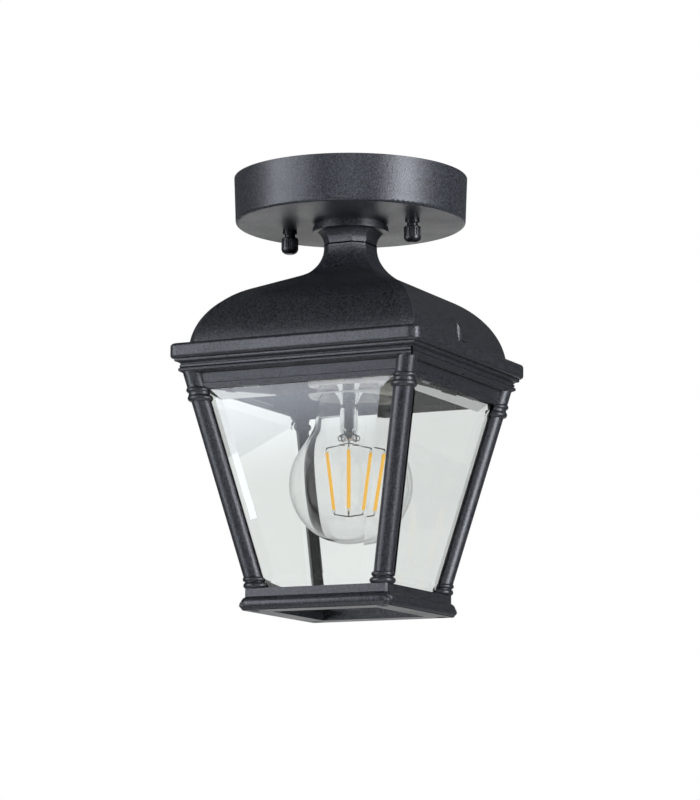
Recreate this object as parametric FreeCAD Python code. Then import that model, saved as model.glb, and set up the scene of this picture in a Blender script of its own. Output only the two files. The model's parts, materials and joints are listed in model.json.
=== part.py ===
import FreeCAD, Part
import math
import os

# Porch ceiling lantern with a square, tapering, glazed cage.
# Millimetres. The origin is the centre of the canopy's ceiling face, +Z is up,
# so everything hangs below zero and a "drop" is a distance below the ceiling.
# The front is -Y, and the two cap nuts stand on the X axis.

# ---- overall sizes ----
canopy_radius = 60.0          # at the ceiling
canopy_depth = 23.8
rim_half = 68.75              # half the width over the roof's rim band
roof_drop = 35.0              # top of the roof's neck
rim_top_drop = 91.4
rim_bottom_drop = 99.0        # the parting line between roof and cage
cage_depth = 125.1            # from that line to the underside

# ---- canopy ----
canopy_draft = 0.9            # how much narrower its underside is
canopy_sheet = 1.2
canopy_edge_radius = 1.5
stud_spacing = 69.85
stud_radius = 2.0
stud_hole_radius = 2.4

# ---- crossbar ----
bar_length = 104.0
bar_width = 19.0
bar_thickness = 2.0
bar_corner = 4.0
bar_hole_gap = 0.6            # round the threaded nipple's way
bar_rib = 1.2                 # the stiffening ribs are as deep as wide
bar_rib_inset = 1.4
ground_hole_radius = 1.6
box_screw_spacing = 88.9
box_slot_length = 8.0
box_slot_width = 4.6
stud_nut_width = 8.0          # across flats
stud_nut_height = 3.0
stud_stand = 0.6              # stud end stands this far inside the bar's back face
stud_in_nut = 5.0             # how deep a stud enters the nut's body
ground_screw_place = 17.0

# ---- cap nuts ----
nut_collar_radius = 3.7
nut_collar_height = 2.2
nut_waist_radius = 2.8
nut_waist_height = 1.7
nut_body_radius = 4.4
nut_body_height = 8.4
nut_bore_depth = 9.5
nut_flutes = 20
nut_flute_depth = 0.3
nut_dome = 2.9                # the rounding of the closed end
nut_plain_end = 0.3           # left unfluted beyond the dome
nut_plain_neck = 0.9          # left unfluted under the waist

# ---- collar, nipple and their fixings ----
flange_radius = 19.5
flange_step_radius = 18.6
flange_step_height = 1.6
flange_height = 4.2
neck_half = 11.8              # half the width of the square neck
neck_leg = 5.4                # the cut corner's leg on the neck
cove_half = 14.4              # where the collar's cove meets the flange
nipple_radius = 4.8
nipple_bore = 3.2
nipple_above_nut = 1.2
hex_nut_width = 15.0
hex_nut_height = 3.6
washer_radius = 8.5
washer_thickness = 0.8

# ---- roof ----
rim_ledge = 6.45              # from the foot of the dome to the rim's face
rim_corner_radius = 5.0
rim_edge_radius = 1.7
roof_wall = 2.4
roof_leg = 5.0                # the cut hip's leg
neck_boss_depth = 16.5        # solid metal round the nipple
neck_straight = 1.1           # before the ogee's cove starts
ogee_cove_radius = 18.5
ogee_shoulder_radius = 36.6
ogee_foot_lean = 5.0          # degrees off upright where the dome meets its ledge

# ---- cage screws, through the rim from its ledge ----
cage_screw_inset = 6.85       # from the rim's face to the screw's axis
cage_screw_radius = 1.5
cage_screw_length = 14.0
cage_screw_head_radius = 2.7
cage_screw_head_height = 2.1
scallop_radius = 3.1
screw_boss_radius = 5.2

# ---- cage: cornice and frieze ----
bead_one_inset = 2.75         # each measured from the rim's face
cove_inset = 5.0
bead_two_inset = 4.5
bead_three_inset = 3.9
cornice_foot_inset = 6.5
cornice_height = 7.4
frieze_step_drop = 12.1       # below the parting line
frieze_foot_drop = 15.0
frieze_panel_stand = 1.5      # outward from the post's axis
frieze_strip_stand = 2.4
frame_wall_inset = 12.25      # the top frame's inner wall
tongue_height = 3.4
tongue_wall = 3.2
corner_notch = 1.1

# ---- posts ----
post_axis_inset = 8.4         # at the parting line, from the rim's face
post_foot_axis = 34.5         # at the top of the bottom frame
post_head_radius = 5.1
post_foot_radius = 4.9
post_socket_depth = 5.5       # from the parting line to the post's top
# turned rings as (drop below the parting line or above the foot, radius, half height)
head_rings = [(15.4, 6.2, 1.35), (19.4, 6.7, 1.75)]
head_notch = (17.5, 5.6, 1.6)
foot_rings = [(4.6, 5.9, 1.2), (1.55, 6.5, 1.55)]
post_screw_radius = 1.5
post_screw_length = 14.0
post_screw_head_radius = 2.8
post_screw_head_height = 1.7

# ---- bottom frame ----
frame_height = 11.0
frame_half = 39.2
frame_face_height = 6.2
bullnose_stand = 2.3          # beyond the frame's face
frame_foot_half = 40.1
opening_half = 28.8
opening_lip = 3.7
pane_step_depth = 2.6         # the side panes stand this deep in the frame

# ---- glass ----
glass_thickness = 3.0
glass_edge = 1.4              # thickness left at the bevel's edge
glass_bevel = 9.0
glass_face_stand = 0.8        # outward from the post's axis
glass_slot_depth = 2.05       # how far a pane enters a post
glass_head_lap = 2.9          # how far it goes up behind the frieze
bottom_glass_thickness = 3.0
bottom_glass_half = 31.1

# ---- clips ----
clip_width = 9.0
clip_sheet = 0.6
clip_top_drop = 3.0           # where a clip starts on the frame's wall, below the parting line
clip_bend_drop = 7.0
clip_head_rise = 0.4          # over the pane's top edge
clip_wall_gap = 0.05
clip_pane_gap = 0.15
clip_hold_rise = 0.7          # where a clip presses its pane, above the frieze's foot
clip_curl_drop = 1.2
clip_curl = 1.8               # how far the free end turns inward

# ---- lamp holder ----
holder_top_drop = 71.0
holder_rim_drop = 113.6
holder_rim_radius = 20.9
holder_rim_height = 5.5
holder_mouth_flare = 4.3
holder_body_radius = 18.6
holder_shoulder_radius = 15.0
holder_floor_drop = 79.4
holder_lead_offset = 8.0
cap_top_drop = 56.6
cap_radius = 15.4
cap_neck_radius = nipple_radius + 2.6
cap_neck_height = 4.2
cap_sheet = 1.0
shell_wall = 0.6
contact_width = 5.0
contact_sheet = 0.5

# ---- bulb ----
bulb_radius = 30.3
bulb_tip_drop = 188.4
bulb_shoulder_height = 6.2
bulb_flare = 33.0             # degrees off upright
bulb_wall = 0.8
bulb_cap_radius = 13.1
bulb_cap_length = 26.0
bulb_cap_wall = 0.5
bulb_joint_drop = 109.3
bulb_joint_radius = bulb_cap_radius - 0.4
bulb_shoulder_radius = bulb_joint_radius + 3.6   # where the neck starts below the cap
bulb_neck_radius = bulb_shoulder_radius + 1.0    # where the neck flares into the globe
bulb_contact_radius = 4.6
bulb_seat_radius = 8.6
stem_radius = 5.3
stem_foot_drop = 136.5
filament_radius = 0.85
filament_top_drop = 140.5
filament_foot_drop = 172.5
filament_top_spread = 11.3
filament_foot_spread = 7.3
filament_count = 4
filament_turn = 25.0          # degrees about the axis, as the bulb happens to be screwed in
wire_radius = 0.3

# ---- leads ----
lead_radius = 1.1
lead_offset = 1.45
lead_bend = 7.0
lead_run_drop = 10.2
lead_reach = 30.0
connector_radius = 5.6
connector_mouth_radius = 6.4
connector_length = 17.0

# ---- clearances ----
fit = 0.06                    # running fit, on the radius
joint_gap = 0.1               # between flat faces that part
glass_gap = 0.15              # round a pane in its slot
seat_gap = 0.2

# ---- places worked out from the sizes above ----
stud_x = stud_spacing / 2
bar_rib_length = bar_length * 0.3
parting = -rim_bottom_drop
cage_foot = parting - cage_depth
frame_top = cage_foot + frame_height
post_head_axis = rim_half - post_axis_inset
lean = (post_head_axis - post_foot_axis) / (parting - frame_top)
tilt = math.degrees(math.atan(lean))
dome_half = rim_half - rim_ledge
cage_screw_x = rim_half - cage_screw_inset
canopy_floor = -canopy_depth + canopy_sheet
nipple_top = canopy_floor + washer_thickness + hex_nut_height + nipple_above_nut
boss_foot = -roof_drop - neck_boss_depth
bulb_cap_top = -bulb_joint_drop + bulb_cap_length
far = 400.0


def vec(x, y, z):
    return FreeCAD.Vector(x, y, z)


def axis_at(z):
    """Half spacing of the post axes at height z."""
    return post_head_axis - lean * (parting - z)


def save(name, shape):
    shape.exportStep("parts/" + name + ".step")


def solid_of(shape):
    """The shape as one plain solid or compound, without leftover seams."""
    return shape.removeSplitter()


def rounded(points):
    """Edges through (x, z, radius) points of an open outline in the XZ plane."""
    edges = []
    last = vec(points[0][0], 0, points[0][1])
    for k in range(1, len(points)):
        here = vec(points[k][0], 0, points[k][1])
        radius = points[k][2] if len(points[k]) > 2 else 0
        if radius == 0 or k == len(points) - 1:
            edges.append(Part.makeLine(last, here))
            last = here
            continue
        after = vec(points[k + 1][0], 0, points[k + 1][1])
        before = vec(points[k - 1][0], 0, points[k - 1][1])
        u = (before - here).normalize()
        v = (after - here).normalize()
        half = math.acos(max(-1, min(1, u.dot(v)))) / 2
        reach = radius / math.tan(half)
        start = here + u * reach
        end = here + v * reach
        middle = here + (u + v).normalize() * (radius / math.sin(half) - radius)
        edges.append(Part.makeLine(last, start))
        edges.append(Part.Arc(start, middle, end).toShape())
        last = end
    return edges


def turned(points):
    """A solid of revolution about Z from an outline that starts and ends on the axis or closes."""
    edges = rounded(points)
    first = vec(points[0][0], 0, points[0][1])
    last = vec(points[-1][0], 0, points[-1][1])
    if first.distanceToPoint(last) > 1e-6:
        edges.append(Part.makeLine(last, first))
    face = Part.Face(Part.Wire(edges))
    return face.revolve(vec(0, 0, 0), vec(0, 0, 1), 360)


def corner_edge(edge, k, leg):
    """The outline's edge moved out to the k-th corner line of a square plan with cut corners."""
    quarter = k // 2
    sx = [1, -1, -1, 1][quarter]
    sy = [1, 1, -1, -1][quarter]
    first = (k % 2 == 0) == (quarter % 2 == 0)
    move = FreeCAD.Matrix()
    move.A11 = sx
    move.A14 = 0 if first else -sx * leg
    move.A21 = sy
    move.A24 = -sy * leg if first else 0
    return edge.transformGeometry(move).Edges[0]


def level_face(half, leg, z):
    """The square plan with cut corners at one height."""
    a = half - leg
    points = [(half, a), (a, half), (-a, half), (-half, a), (-half, -a), (-a, -half), (a, -half), (half, -a)]
    if leg == 0:
        points = points[::2]
    points = [vec(x, y, z) for x, y in points]
    return Part.Face(Part.makePolygon(points + points[:1]))


def flat_or_ruled(one, two):
    """The face between two corner lines: a plane where both are straight."""
    if not is_straight(one):
        return Part.makeRuledSurface(one, two)
    a, b = [v.Point for v in one.Vertexes]
    c, d = [v.Point for v in two.Vertexes]
    return Part.Face(Part.makePolygon([a, b, d, c, a]))


def is_straight(edge):
    a, middle, b = edge.discretize(Number=3)
    return (middle - (a + b) * 0.5).Length < 1e-6


def squared(edges, leg=0.0):
    """A solid with a square plan whose half width follows the outline, with cut corners."""
    steps = range(0, 8) if leg > 0 else range(0, 8, 2)
    faces = []
    for edge in edges:
        lines = [corner_edge(edge, k, leg) for k in steps]
        for one, two in zip(lines, lines[1:] + lines[:1]):
            faces.append(flat_or_ruled(one, two))
    top = edges[0].Vertexes[0].Point
    foot = edges[-1].Vertexes[-1].Point
    faces.append(level_face(top.x, leg, top.z))
    faces.append(level_face(foot.x, leg, foot.z))
    body = Part.makeSolid(Part.makeShell(faces))
    if body.Volume < 0:
        body.reverse()
    return body


def block(half_x, half_y, z_low, z_high):
    return Part.makeBox(2 * half_x, 2 * half_y, z_high - z_low, vec(-half_x, -half_y, z_low))


def rod(radius, x, y, z_low, z_high):
    return Part.makeCylinder(radius, z_high - z_low, vec(x, y, z_low))


def hexagon(width, x, y, z_low, z_high):
    """A hexagonal prism that many across its flats, with its top and foot edges turned off."""
    corner = width / math.sqrt(3)
    points = [vec(x + corner * math.cos(math.radians(a)), y + corner * math.sin(math.radians(a)), z_low)
              for a in range(0, 361, 60)]
    prism = Part.Face(Part.makePolygon(points)).extrude(vec(0, 0, z_high - z_low))
    crown = 0.5 * (corner - width / 2)
    envelope = turned([(0, z_high), (width / 2, z_high), (corner, z_high - crown),
                       (corner, z_low + crown), (width / 2, z_low), (0, z_low)])
    envelope.translate(vec(x, y, 0))
    return prism.common(envelope)


def at_corners(shape):
    """Four copies of a shape made for the front right corner, by name."""
    names = ["front_right", "back_right", "back_left", "front_left"]
    made = {}
    for k, name in enumerate(names):
        copy = shape.copy()
        copy.rotate(vec(0, 0, 0), vec(0, 0, 1), 90 * k)
        made[name] = copy
    return made


# ---- ceiling end ----
def canopy():
    low = canopy_radius - canopy_draft
    inner = canopy_edge_radius
    cup = turned([(0, -canopy_depth), (low, -canopy_depth, canopy_edge_radius), (canopy_radius, 0),
                  (canopy_radius - canopy_sheet, 0), (low - canopy_sheet, canopy_floor, inner),
                  (0, canopy_floor)])
    cup = cup.cut(rod(nipple_radius + seat_gap, 0, 0, -far, 0))
    for side in (-1, 1):
        cup = cup.cut(rod(stud_hole_radius, side * stud_x, 0, -far, 0))
    return cup


def crossbar():
    bar = block(bar_length / 2, bar_width / 2, -bar_thickness, 0)
    ends = [e for e in bar.Edges if abs(e.Vertexes[0].Z - e.Vertexes[1].Z) > bar_thickness / 2]
    bar = bar.makeFillet(bar_corner, ends)
    bar = bar.cut(rod(nipple_radius + bar_hole_gap, 0, 0, -far, 1))
    run = (box_slot_length - box_slot_width) / 2
    for side in (-1, 1):
        bar = bar.cut(rod(stud_radius + fit, side * stud_x, 0, -far, 1))
        middle = side * box_screw_spacing / 2
        slot = Part.makeBox(2 * run, box_slot_width, far, vec(middle - run, -box_slot_width / 2, -far / 2))
        slot = slot.fuse(rod(box_slot_width / 2, middle - run, 0, -far / 2, far / 2))
        slot = slot.fuse(rod(box_slot_width / 2, middle + run, 0, -far / 2, far / 2))
        bar = bar.cut(slot)
    for side in (-1, 1):
        rib = Part.makeBox(bar_rib_length, bar_rib, bar_rib,
                           vec(-bar_rib_length / 2, -bar_rib / 2, -bar_thickness - bar_rib))
        rib.translate(vec(0, side * (bar_width / 2 - bar_rib_inset), 0))
        bar = bar.fuse(rib)
    bar = bar.cut(rod(ground_hole_radius, ground_screw_place, 0, -far, 1))
    return solid_of(bar)


def canopy_studs():
    foot = -canopy_depth - nut_collar_height - nut_waist_height - stud_in_nut
    studs = []
    for side in (-1, 1):
        stud = turned([(0, -stud_stand), (stud_radius, -stud_stand), (stud_radius, foot + 0.6),
                       (stud_radius - 0.6, foot), (0, foot)])
        stud.translate(vec(side * stud_x, 0, 0))
        studs.append(stud)
    return Part.makeCompound(studs)


def stud_locknuts():
    nuts = []
    for side in (-1, 1):
        nut = hexagon(stud_nut_width, side * stud_x, 0, -bar_thickness - stud_nut_height, -bar_thickness)
        nuts.append(nut.cut(rod(stud_radius + fit / 2, side * stud_x, 0, -far, 0)))
    return Part.makeCompound(nuts)


def ground_screw():
    head = turned([(0, -bar_thickness - 2.2), (2.4, -bar_thickness - 2.2, 0.8), (3.6, -bar_thickness, 0),
                   (1.5, -bar_thickness), (1.5, -0.1), (0, -0.1)])
    head.translate(vec(ground_screw_place, 0, 0))
    slot = Part.makeBox(8, 0.8, 1.0, vec(ground_screw_place - 4, -0.4, -bar_thickness - 2.6))
    return head.cut(slot)


def cap_nut(side):
    top = -canopy_depth
    waist = top - nut_collar_height
    body = waist - nut_waist_height
    foot = body - nut_body_height
    nut = turned([(0, top), (nut_collar_radius, top), (nut_collar_radius, waist, 0.6),
                  (nut_waist_radius, waist), (nut_waist_radius, body), (nut_body_radius - 0.5, body),
                  (nut_body_radius, body - 0.5), (nut_body_radius, foot, nut_dome), (0, foot)])
    for k in range(nut_flutes):
        flute = Part.makeBox(1, 1, body - foot - nut_dome - nut_plain_end - nut_plain_neck,
                            vec(0, 0, foot + nut_dome + nut_plain_end))
        flute.rotate(vec(0, 0, 0), vec(0, 0, 1), -45)
        flute.translate(vec(nut_body_radius - nut_flute_depth, 0, 0))
        flute.rotate(vec(0, 0, 0), vec(0, 0, 1), 360 * k / nut_flutes)
        nut = nut.cut(flute)
    nut = nut.cut(rod(stud_radius + fit, 0, 0, top - nut_bore_depth, top + 1))
    nut.translate(vec(side * stud_x, 0, 0))
    return nut


# ---- what carries the lantern ----
def threaded_nipple():
    foot = -cap_top_drop - cap_neck_height
    tube = turned([(nipple_bore, nipple_top), (nipple_radius - 0.6, nipple_top),
                   (nipple_radius, nipple_top - 0.6),
                   (nipple_radius, foot + 0.6), (nipple_radius - 0.6, foot), (nipple_bore, foot),
                   (nipple_bore, nipple_top)])
    return tube


def nipple_nuts():
    low = canopy_floor + washer_thickness
    upper = hexagon(hex_nut_width, 0, 0, low, low + hex_nut_height)
    lower = hexagon(hex_nut_width, 0, 0, boss_foot - hex_nut_height, boss_foot)
    nuts = Part.makeCompound([upper, lower])
    return nuts.cut(rod(nipple_radius + fit / 2, 0, 0, -far, 0))


def lock_washer():
    ring = rod(washer_radius, 0, 0, canopy_floor, canopy_floor + washer_thickness)
    ring = ring.cut(rod(nipple_radius + seat_gap, 0, 0, -far, 0))
    for k in range(12):
        notch = Part.makeBox(1.2, 1.6, far, vec(washer_radius - 1.2, -0.8, -far / 2))
        notch.rotate(vec(0, 0, 0), vec(0, 0, 1), 30 * k)
        ring = ring.cut(notch)
    return ring


def neck_collar():
    top = -canopy_depth
    flange_foot = top - flange_height
    flange = turned([(0, top), (flange_step_radius, top), (flange_step_radius, top - flange_step_height),
                     (flange_radius, top - flange_step_height), (flange_radius, flange_foot, 0.6),
                     (0, flange_foot)])
    start = vec(cove_half, 0, flange_foot + 0.5)
    shoulder = vec(cove_half, 0, flange_foot)
    seam = vec(neck_half, 0, -roof_drop)
    bow = vec(neck_half + (cove_half - neck_half) * 0.22, 0, (flange_foot - roof_drop) / 2)
    outline = [Part.makeLine(start, shoulder), Part.Arc(shoulder, bow, seam).toShape()]
    cove = squared(outline, neck_leg)
    collar = flange.fuse(cove).cut(rod(nipple_radius + seat_gap, 0, 0, -far, 0))
    return solid_of(collar)


# ---- roof ----
def ogee_edges(inset):
    """The roof's outline, moved inward: neck, cove, slope and shoulder, each tangent to the next."""
    lean_out = math.radians(ogee_foot_lean)
    cove_z = -roof_drop - neck_straight
    cove_centre = vec(neck_half + ogee_cove_radius, 0, cove_z)
    shoulder_centre = vec(dome_half - ogee_shoulder_radius * math.cos(lean_out), 0,
                          -rim_top_drop - ogee_shoulder_radius * math.sin(lean_out))
    across = shoulder_centre - cove_centre
    share = (ogee_cove_radius + ogee_shoulder_radius) / across.Length
    slope = math.atan2(across.z, across.x) + math.acos(-share)

    def on_cove(angle):
        return cove_centre - vec(math.cos(angle), 0, math.sin(angle)) * (ogee_cove_radius + inset)

    def on_shoulder(angle):
        return shoulder_centre + vec(math.cos(angle), 0, math.sin(angle)) * (ogee_shoulder_radius - inset)

    return [Part.makeLine(vec(neck_half - inset, 0, -roof_drop), on_cove(0)),
            Part.Arc(on_cove(0), on_cove(slope / 2), on_cove(slope)).toShape(),
            Part.makeLine(on_cove(slope), on_shoulder(slope)),
            Part.Arc(on_shoulder(slope), on_shoulder((slope + lean_out) / 2),
                      on_shoulder(lean_out)).toShape()]


def dome_body(inset, foot_z):
    """The roof's outer dome, or its cavity when moved inward, with an upright skirt down to foot_z."""
    edges = ogee_edges(inset)
    end = edges[-1].Vertexes[-1].Point
    edges.append(Part.makeLine(end, vec(end.x, 0, foot_z)))
    return squared(edges, roof_leg)


def dome_cavity():
    hollow = dome_body(roof_wall, parting - 1.0)
    return hollow.common(block(far, far, -far, boss_foot))


def rim_band():
    band = block(rim_half, rim_half, parting, -rim_top_drop)
    uprights = [e for e in band.Edges if abs(e.Vertexes[0].Z - e.Vertexes[1].Z) > 1]
    band = band.makeFillet(rim_corner_radius, uprights)
    loops = [e for e in band.Edges if abs(e.BoundBox.ZLength) < 0.01]
    return band.makeFillet(rim_edge_radius, loops)


def cage_screw_places():
    return [(side * cage_screw_x, 0) for side in (-1, 1)]


def roof():
    dome = dome_body(0, -rim_top_drop - 1.0)
    shell = dome.fuse(rim_band()).cut(dome_cavity())
    boss_low = parting + tongue_height + joint_gap + 0.4
    for x, y in cage_screw_places():
        boss = rod(screw_boss_radius, x, y, boss_low, -rim_top_drop + 14)
        shell = shell.fuse(boss.common(dome.fuse(block(dome_half, dome_half, boss_low, -rim_top_drop))))
    for x, y in cage_screw_places():
        shell = shell.cut(rod(scallop_radius, x, y, -rim_top_drop, -roof_drop))
        shell = shell.cut(rod(cage_screw_radius + seat_gap, x, y, parting - 1, -rim_top_drop + 1))
    shell = shell.cut(rod(nipple_radius + fit / 2, 0, 0, -far, 0))
    return solid_of(shell)


def cage_screw(side):
    seat = -rim_top_drop
    top = seat + cage_screw_head_height
    foot = seat - cage_screw_length
    screw = turned([(0, top), (cage_screw_head_radius * 0.8, top, 0.5),
                   (cage_screw_head_radius, top - 1.0, 0.4),
                    (cage_screw_head_radius, seat), (cage_screw_radius, seat),
                    (cage_screw_radius, foot + 0.8), (cage_screw_radius - 0.6, foot), (0, foot)])
    for angle in (0, 90):
        slot = Part.makeBox(3.4, 0.7, 1.3, vec(-1.7, -0.35, top - 1.2))
        slot.rotate(vec(0, 0, 0), vec(0, 0, 1), angle)
        screw = screw.cut(slot)
    screw.translate(vec(side * cage_screw_x, 0, 0))
    return screw


# ---- glass ----
def pane_solid(grow):
    """The front pane, or its slot when grown, standing upright on Z before it leans."""
    slope = math.sqrt(1 + lean * lean)
    z_top = parting - frieze_foot_drop + glass_head_lap
    z_foot = frame_top - pane_step_depth
    reach = post_head_radius - glass_slot_depth
    half_top = axis_at(z_top) - reach + grow
    half_foot = axis_at(z_foot) - reach + grow
    tall_top = (z_top - z_foot) * slope + grow
    tall_foot = -grow
    face = axis_at(z_foot) + glass_face_stand

    def plate(inset, y):
        run = (half_top - half_foot) / (tall_top - tall_foot)
        points = [vec(-half_foot + inset - run * inset, y, tall_foot + inset),
                  vec(half_foot - inset + run * inset, y, tall_foot + inset),
                  vec(half_top - inset - run * inset, y, tall_top - inset),
                  vec(-half_top + inset + run * inset, y, tall_top - inset)]
        return Part.makePolygon(points + points[:1])

    if grow > 0:
        body = Part.Face(plate(0, -grow)).extrude(vec(0, glass_thickness + 2 * grow, 0))
    else:
        bevel_drop = glass_thickness - glass_edge
        back = Part.Face(plate(0, bevel_drop)).extrude(vec(0, glass_edge, 0))
        front = Part.makeLoft([plate(glass_bevel, 0), plate(0, bevel_drop)], True, True)
        body = back.fuse(front)
    body.rotate(vec(0, 0, 0), vec(1, 0, 0), tilt)
    body.translate(vec(0, -face, z_foot))
    return body


def pane_top():
    """The highest point of a pane: its back edge, because it leans outward."""
    return parting - frieze_foot_drop + glass_head_lap + glass_thickness * math.sin(math.radians(tilt))


def pane_back_at(z):
    """Half spacing of the panes' back faces at height z."""
    return axis_at(z) + glass_face_stand - glass_thickness * math.sqrt(1 + lean * lean)


def all_pane_slots():
    first = pane_solid(glass_gap)
    slots = first
    for k in range(1, 4):
        turned_slot = first.copy()
        turned_slot.rotate(vec(0, 0, 0), vec(0, 0, 1), 90 * k)
        slots = slots.fuse(turned_slot)
    return slots


def glass_panes():
    pane = solid_of(pane_solid(0))
    made = {}
    for k, name in enumerate(["front", "right", "back", "left"]):
        copy = pane.copy()
        copy.rotate(vec(0, 0, 0), vec(0, 0, 1), 90 * k)
        made["glass_" + name] = copy
    return made


def bottom_glass():
    low = cage_foot + opening_lip
    pane = block(bottom_glass_half, bottom_glass_half, low, low + bottom_glass_thickness)
    rims = [e for e in pane.Edges if abs(e.BoundBox.ZLength) < 0.01]
    return pane.makeChamfer(0.5, rims)


# ---- cage ----
def leaning_rod(radius_top, radius_foot, z_top, z_foot):
    """A tapered rod along the front right post's axis, cut level at both ends."""
    over = 6.0
    high = z_top + over
    low = z_foot - over
    a = axis_at(high)
    b = axis_at(low)
    direction = vec(a - b, -(a - b), high - low)
    rate = (radius_top - radius_foot) / (z_top - z_foot)
    cone = Part.makeCone(radius_foot - rate * over, radius_top + rate * over, direction.Length,
                         vec(b, -b, low), direction)
    return cone.common(block(far, far, z_foot, z_top))


def ring_at(z, radius, half_height):
    """A turned half-round ring round the front right post's axis."""
    x = axis_at(z)
    flat = radius - half_height * 0.8
    upper = vec(flat, 0, z + half_height)
    lower = vec(flat, 0, z - half_height)
    bead = Part.Arc(upper, vec(radius, 0, z), lower).toShape()
    sides = Part.makePolygon([lower, vec(0, 0, z - half_height), vec(0, 0, z + half_height), upper])
    ring = Part.Face(Part.Wire([bead] + sides.Edges)).revolve(vec(0, 0, 0), vec(0, 0, 1), 360)
    ring.translate(vec(x, -x, 0))
    return ring


def post_blank(grow=0.0):
    top = parting - post_socket_depth + grow
    post = leaning_rod(post_head_radius + grow, post_foot_radius + grow, top, frame_top)
    for drop, radius, half_height in head_rings:
        post = post.fuse(ring_at(parting - drop, radius + grow, half_height + grow))
    notch_drop, notch_radius, notch_half = head_notch
    post = post.fuse(rod(notch_radius + grow, axis_at(parting - notch_drop), -axis_at(parting - notch_drop),
                         parting - notch_drop - notch_half, parting - notch_drop + notch_half))
    for rise, radius, half_height in foot_rings:
        post = post.fuse(ring_at(frame_top + rise, radius + grow, half_height + grow))
    return post


def post_screw_places():
    """Where the vertical screws stand at the head and the foot of the front right post."""
    head = axis_at(parting - post_socket_depth - post_screw_length / 2)
    foot = axis_at(frame_top + post_screw_length / 4)
    return head, foot


def post():
    head, foot = post_screw_places()
    body = post_blank().cut(all_pane_slots())
    thread = post_screw_radius + fit / 2
    body = body.cut(rod(thread, head, -head, parting - post_screw_length - 1, parting))
    body = body.cut(rod(thread, foot, -foot, cage_foot, cage_foot + post_screw_length + 1))
    return largest(solid_of(body))


def largest(shape):
    """A post's slots leave slivers beside the panes, which the casting does not have."""
    return max(shape.Solids, key=lambda s: s.Volume)


def post_screw(z_face, place, upright):
    """A countersunk screw whose head's face lies at z_face; it runs down when upright is 1."""
    r = post_screw_radius
    head = post_screw_head_radius
    screw = turned([(0, 0), (head, 0), (head, -0.3), (r, -post_screw_head_height),
                    (r, -post_screw_length + 0.8), (r - 0.5, -post_screw_length), (0, -post_screw_length)])
    for angle in (45, 135):
        slot = Part.makeBox(2.8, 0.6, 1.0, vec(-1.4, -0.3, -0.9))
        slot.rotate(vec(0, 0, 0), vec(0, 0, 1), angle)
        screw = screw.cut(slot)
    if upright < 0:
        screw.rotate(vec(0, 0, 0), vec(1, 0, 0), 180)
    screw.translate(vec(place, -place, z_face))
    return screw


def countersink(z_face, place, upright):
    r = post_screw_radius + seat_gap
    head = post_screw_head_radius + 0.1
    hole = turned([(0, 1), (head, 1), (head, -0.35), (r, -post_screw_head_height),
                   (r, -post_screw_length), (0, -post_screw_length)])
    if upright < 0:
        hole.rotate(vec(0, 0, 0), vec(1, 0, 0), 180)
    hole.translate(vec(place, -place, z_face))
    return hole


def post_screws(upright):
    head, foot = post_screw_places()
    if upright > 0:
        screw = post_screw(parting - 0.4, head, 1)
    else:
        screw = post_screw(cage_foot + 0.4, foot, -1)
    return Part.makeCompound(list(at_corners(screw).values()))


def top_frame_outline():
    """The cornice's beads and cove, then the sloping frieze with its proud foot strip."""
    z = parting - joint_gap
    one = rim_half - bead_one_inset
    cove = rim_half - cove_inset
    two = rim_half - bead_two_inset
    three = rim_half - bead_three_inset
    foot = rim_half - cornice_foot_inset
    z_foot = parting - cornice_height
    z_step = parting - frieze_step_drop
    z_end = parting - frieze_foot_drop
    return rounded([(one, z), (one, z - 1.2, 0.7), (cove + 0.3, z - 1.9, 0.5), (cove, z - 2.7, 0.3),
                    (two, z - 2.9, 0.3), (two, z - 4.1, 0.3), (cove + 0.1, z - 4.2),
                    (three - 0.2, z - 4.6, 0.4),
                    (three, z - 5.9, 0.8), (foot, z_foot), (axis_at(z_foot) + frieze_panel_stand, z_foot),
                    (axis_at(z_step) + frieze_panel_stand, z_step),
                    (axis_at(z_step) + frieze_strip_stand, z_step - 0.3, 0.25),
                    (axis_at(z_end) + frieze_strip_stand, z_end)])


def top_frame():
    seat_top = pane_top() + glass_gap
    z_end = parting - frieze_foot_drop
    body = squared(top_frame_outline())
    wall = rim_half - frame_wall_inset
    body = body.cut(block(wall, wall, -far, 0))
    behind = glass_face_stand + glass_gap
    rebate = rounded([(axis_at(seat_top) + behind, seat_top), (axis_at(z_end - 2) + behind, z_end - 2)])
    body = body.cut(squared(rebate))
    rim = dome_half - roof_wall - 2 * joint_gap
    tongue_top = parting + tongue_height
    tongue = squared([Part.makeLine(vec(rim, 0, tongue_top), vec(rim, 0, parting - 1.0))], roof_leg)
    inner = rim - tongue_wall
    tongue = tongue.cut(squared([Part.makeLine(vec(inner, 0, 0), vec(inner, 0, -far))], roof_leg))
    body = body.fuse(tongue)
    head, foot = post_screw_places()
    notch = Part.makeBox(8.0, corner_notch, cornice_height - 2.4,
                         vec(rim_half * math.sqrt(2) - 13.2, -corner_notch / 2, parting - cornice_height))
    for k in range(4):
        pocket = post_blank(fit).fuse(countersink(parting - 0.4, head, 1))
        pocket.rotate(vec(0, 0, 0), vec(0, 0, 1), 90 * k)
        body = body.cut(pocket)
        cut = notch.copy()
        cut.rotate(vec(0, 0, 0), vec(0, 0, 1), 45 + 90 * k)
        body = body.cut(cut)
    for x, y in cage_screw_places():
        body = body.cut(rod(cage_screw_radius + fit, x, y, -rim_top_drop - cage_screw_length - 0.6, 0))
    return largest(solid_of(body))


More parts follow.
